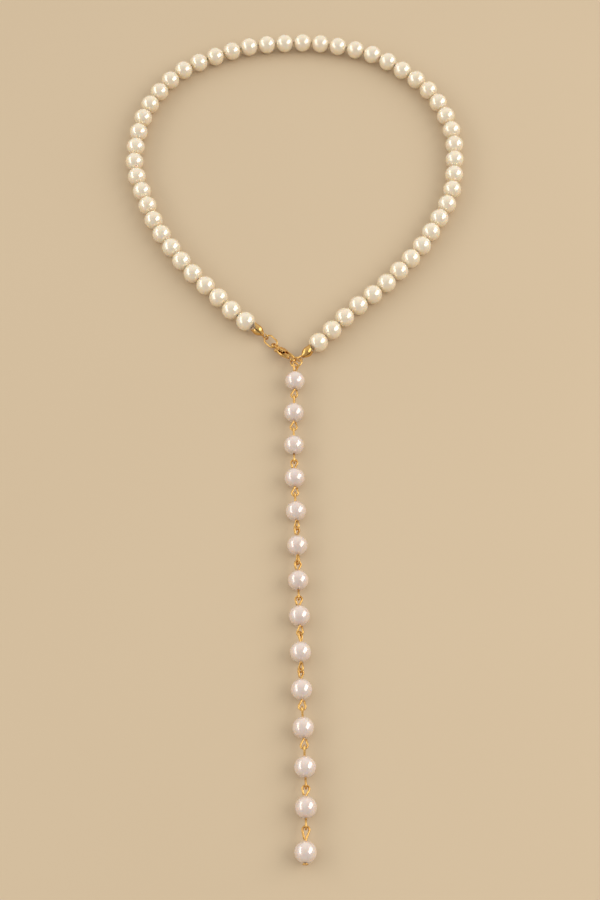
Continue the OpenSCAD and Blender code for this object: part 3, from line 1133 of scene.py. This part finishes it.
    def _rod(self, name: str, radius: float, half: float, at: Point, edge: float = 0.0) -> Piece:
        """Model an upright disc or rod, with rounded edges if an edge radius is given."""
        Bench.clear()
        bpy.ops.mesh.primitive_cylinder_add(vertices=40, radius=radius, depth=2 * half)
        rod = bpy.context.object
        rod.name = name
        rod.data.transform(Matrix.Translation((*at, 0)))
        if edge:
            Bench.modify(rod, "BEVEL", width=edge, segments=3, angle_limit=math.radians(50))
        return rod

    def _body(self) -> Piece:
        """Model the body with its eye, collar, hook, lever slot and pin hole."""
        Bench.clear()
        bpy.ops.mesh.primitive_uv_sphere_add(segments=48, ring_count=24, radius=self.body_r)
        lens = bpy.context.object
        lens.data.transform(Matrix.Translation((*self.body_at, 0)))
        low = self.flat_from * self.half_thickness
        share = self.flat_depth * self.half_thickness / (self.body_r - low)
        for face in (-1, 1):
            Bench.edit(lens, lambda p: face * p.z > low)
            bpy.ops.transform.resize(value=(1, 1, share), center_override=(0, 0, face * low))
        Bench.edit(lens, lambda p: p.x > self.shoulder_from[0] and p.y > self.shoulder_from[1])
        bpy.ops.transform.translate(value=(*self.shoulder_push, 0))
        Bench.clear()
        body = Bench.join([lens, self._eye(), self._collar(), self._hook()], "clasp_casting")
        self._fuse(body)
        px, py = self.pivot
        for name, left, top in (("slot_low", self.slot_left, py), ("slot_high", px, self.slot_floor)):
            low_corner = (left, self.slot_low, -self.slot_half)
            Bench.cut(body, self._block(name, low_corner, (self.slot_right, top, self.slot_half)))
        Bench.cut(body, self._rod("slot_hub", self.hub_r + self.slot_hub_gap, self.slot_half, self.pivot))
        self._fuse(body)
        self._soften(body)
        Bench.cut(body, self._rod("pin_hole", self.pin_r + self.pin_hole_gap, 3.0, self.pivot))
        Bench.smooth(body, 45)
        return body

    def _pin(self) -> Piece:
        """Model the pin as a rivet with two low domed heads."""
        wire = BentWire("clasp_rivet", self.crown_r, 28, (-self.half_thickness + self.pin_sink, 0))
        crown, shoulder = self.crown_height, self.shoulder_height
        wire.run(crown, self.crown_swell).run(shoulder, self.pin_r / self.shoulder_r)
        wire.run(2 * self.half_thickness - self.pin_short)
        wire.run(shoulder, self.shoulder_r / self.pin_r).run(crown, 1 / self.crown_swell)
        pin = wire.cap().cap_start().done()
        pin.data.transform(Matrix.Translation((*self.pivot, 0)) @ Matrix.Rotation(-math.pi / 2, 4, "Y"))
        Bench.smooth(pin, 40)
        return pin

    def _outlined(self, name: str, outline: Sequence[Point], half: float) -> Piece:
        """Model a flat slab from its outline, point by point, with rounded edges and dished faces."""
        Bench.clear()
        bpy.ops.mesh.primitive_plane_add(size=0.1)
        slab = bpy.context.object
        slab.name = name
        Bench.edit(slab)
        bpy.ops.mesh.merge(type="CENTER")
        bpy.ops.transform.translate(value=(*outline[0], -half))
        for near, far in zip(outline, outline[1:]):
            step = (far[0] - near[0], far[1] - near[1], 0)
            bpy.ops.mesh.extrude_region_move(TRANSFORM_OT_translate={"value": step})
        bpy.ops.mesh.select_all(action="SELECT")
        bpy.ops.mesh.edge_face_add()
        bpy.ops.mesh.extrude_region_move(TRANSFORM_OT_translate={"value": (0, 0, 2 * half)})
        Bench.settle(slab)
        for face in (-1, 1):
            Bench.edit(slab, lambda p: face * p.z > 0.9 * half)
            bpy.ops.mesh.inset(thickness=self.edge_width)
            bpy.ops.transform.translate(value=(0, 0, self.edge_rise * face))
            bpy.ops.mesh.inset(thickness=self.rim_width)
            bpy.ops.transform.translate(value=(0, 0, -self.dish * face))
        Bench.modify(slab, "SUBSURF", levels=2, render_levels=2)
        return slab

    def _lever(self) -> Piece:
        """Model the lever: a dished slab with the lever's outline, a hub and a thumb knob."""
        slab = self._outlined("slab", self.lever_outline, self.lever_half - self.edge_rise)
        hub = self._rod("hub", self.hub_r, self.lever_half, self.pivot, self.hub_edge)
        knob = self._rod("knob", self.knob_r, self.lever_half, self.knob_at, self.knob_edge)
        lever = Bench.join([hub, knob, slab], "clasp_lever_arm")
        self._fuse(lever)
        self._soften(lever)
        Bench.cut(lever, self._rod("lever_bore", self.pin_r + self.pin_gap, 2.0, self.pivot))
        Bench.smooth(lever, 45)
        return lever

    def build(self) -> None:
        """Model and dress the body, the pin and the lever."""
        move = self.pose.matrix()
        Bench.dress(self._body(), self.finish, Slot.GOLD, ["clasp_body"], move)
        Bench.dress(self._pin(), self.finish, Slot.GOLD, ["clasp_pin"], move)
        Bench.dress(self._lever(), self.finish, Slot.GOLD, ["clasp_lever"], move, LEVER_BODY)


# Studio


@dataclass(frozen=True)
class Softbox:
    """A rectangular light aimed at the necklace: its direction, distance, sides, power, colour and turn."""

    name: str
    way: Triple
    distance: float
    sides: Point
    power: float
    colour: Colour
    turn: float

    def build(self, aim: Vector) -> None:
        """Hang the light and turn it to a point."""
        data = bpy.data.lights.new(self.name, "AREA")
        data.shape = "RECTANGLE"
        data.size, data.size_y = self.sides
        data.energy = self.power
        data.color = self.colour
        lamp = bpy.data.objects.new(self.name, data)
        place = aim + Vector(self.way).normalized() * self.distance
        facing = (place - aim).to_track_quat("Z", "Y").to_matrix().to_4x4()
        lamp.matrix_world = Matrix.Translation(place) @ facing @ turn_about("Z", self.turn)
        bpy.context.scene.collection.objects.link(lamp)


@dataclass
class Studio:
    """The floor, the lights and the camera."""

    finish: Material
    floor_side: float = 6.0
    floor_gap: float = 0.00005
    camera_at: Triple = (2.25, -315.6, 564.0)
    camera_down: float = 62.5
    focal: float = 1595.0
    picture: tuple[int, int] = (600, 900)
    sensor: float = 36.0
    dim_way: Triple = (0.3, -0.72, 0.62)
    bright: Colour = (0.88, 0.87, 0.87)
    dim: Colour = (0.44, 0.43, 0.43)
    aim: Triple = (0.0, 0.02, 0.0)
    lamps: tuple[Softbox, ...] = (
        Softbox("key_right", (0.80, 0.0, 0.60), 1.3, (1.5, 0.8), 8.8, (1.0, 0.98, 0.97), -26.0),
        Softbox("fill_left", (-0.84, 0.0, 0.54), 1.3, (1.8, 0.45), 4.6, (1.0, 0.98, 0.97), 0.0),
    )

    def _floor(self) -> None:
        """Lay the pale floor just under the pearls."""
        Bench.clear()
        bpy.ops.mesh.primitive_plane_add(size=self.floor_side, location=(0, 0, -self.floor_gap))
        floor = bpy.context.object
        floor.name = "floor"
        bpy.ops.object.transform_apply(location=True)
        floor.data.materials.append(self.finish)

    def _sky(self) -> None:
        """Give the world a soft light that is dimmer towards the front, and show colours as they are."""
        bpy.context.scene.view_settings.view_transform = "Standard"
        world = bpy.data.worlds.new("sky")
        world.use_nodes = True
        nodes, links = world.node_tree.nodes, world.node_tree.links
        way = nodes.new("ShaderNodeTexCoord")
        nearness = nodes.new("ShaderNodeVectorMath")
        nearness.operation = "DOT_PRODUCT"
        nearness.inputs[1].default_value = self.dim_way
        fade = nodes.new("ShaderNodeValToRGB")
        fade.color_ramp.elements[0].color = (*self.bright, 1.0)
        fade.color_ramp.elements[1].color = (*self.dim, 1.0)
        links.new(way.outputs["Generated"], nearness.inputs[0])
        links.new(nearness.outputs["Value"], fade.inputs[0])
        links.new(fade.outputs["Color"], nodes["Background"].inputs["Color"])
        bpy.context.scene.world = world

    def _camera(self) -> None:
        """Set the camera where the photograph was taken from."""
        data = bpy.data.cameras.new("camera")
        data.sensor_fit = "VERTICAL"
        data.sensor_height = self.sensor
        data.lens = self.focal / self.picture[1] * self.sensor
        data.clip_start = 0.01
        camera = bpy.data.objects.new("camera", data)
        place = PLACING @ Vector(self.camera_at)
        camera.matrix_world = Matrix.Translation(place) @ turn_about("X", 90 - self.camera_down)
        bpy.context.scene.collection.objects.link(camera)
        bpy.context.scene.camera = camera

    def build(self) -> None:
        """Build the floor, the lights and the camera."""
        self._camera()
        self._floor()
        self._sky()
        for lamp in self.lamps:
            lamp.build(Vector(self.aim))
        log.info("studio: %d lights and the camera", len(self.lamps))


# Findings that lie along the necklace

LEFT_TIP = Pose((-17.0, 33.4, 4.0), -36.7, -18.4, 30.0)
LEFT_LOOP_TURN = 41.1
RIGHT_TIP = Pose((6.8614, 22.8607, 4.0), 226.5, -2.4, -55.0)
RIGHT_LOOP_TURN = -16.2
OVAL_RING = Pose((-9.82, 27.56, 1.79), -45.0, -0.7, 18.9)
END_RING = Pose((0.75, 16.4, 3.84), -57.7, 15.9, 10.8)


def main() -> None:
    """Build every piece of the necklace in order, and then its studio."""
    logging.basicConfig(level=logging.INFO, format="%(name)s %(message)s")
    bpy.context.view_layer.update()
    cream = PearlFinish(
        "pearl_coat_cream",
        light=(0.92, 0.815, 0.685), deep=(0.87, 0.725, 0.55), overtone=(0.93, 0.84, 0.775),
        tint=(1.0, 0.975, 0.89), glow=0.34,
    ).material()
    blush = PearlFinish(
        "pearl_coat_blush",
        light=(0.80, 0.68, 0.61), deep=(0.74, 0.59, 0.51), overtone=(0.79, 0.71, 0.68),
        tint=(1.0, 0.99, 0.97),
    ).material()
    gold = GoldFinish("gold_plate").material()
    thread = ThreadFinish("twisted_thread").material()
    Studio(SurfaceFinish("pale_surface").material()).build()
    for side in Side:
        PearlStrand(side, cream).build()
    strand_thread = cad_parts["strand_thread"]
    strand_thread.data.materials.clear()
    strand_thread.data.materials.append(thread)
    log.info("strand_thread: the CAD node with a twisted finish")
    BeadTip(Side.LEFT, LEFT_TIP, LEFT_LOOP_TURN, 0.6, gold).build()
    BeadTip(Side.RIGHT, RIGHT_TIP, RIGHT_LOOP_TURN, 0.3, gold).build()
    JumpRing("oval_jump_ring", "oval_ring", 1.85, 0.35, 2.22, gold, OVAL_RING.matrix()).build()
    JumpRing("end_jump_ring", "end_ring", 2.28, 0.325, 0.32, gold, END_RING.matrix()).build()
    Clasp(gold).build()
    Drop(blush, gold).build()


if __name__ == "__main__":
    main()
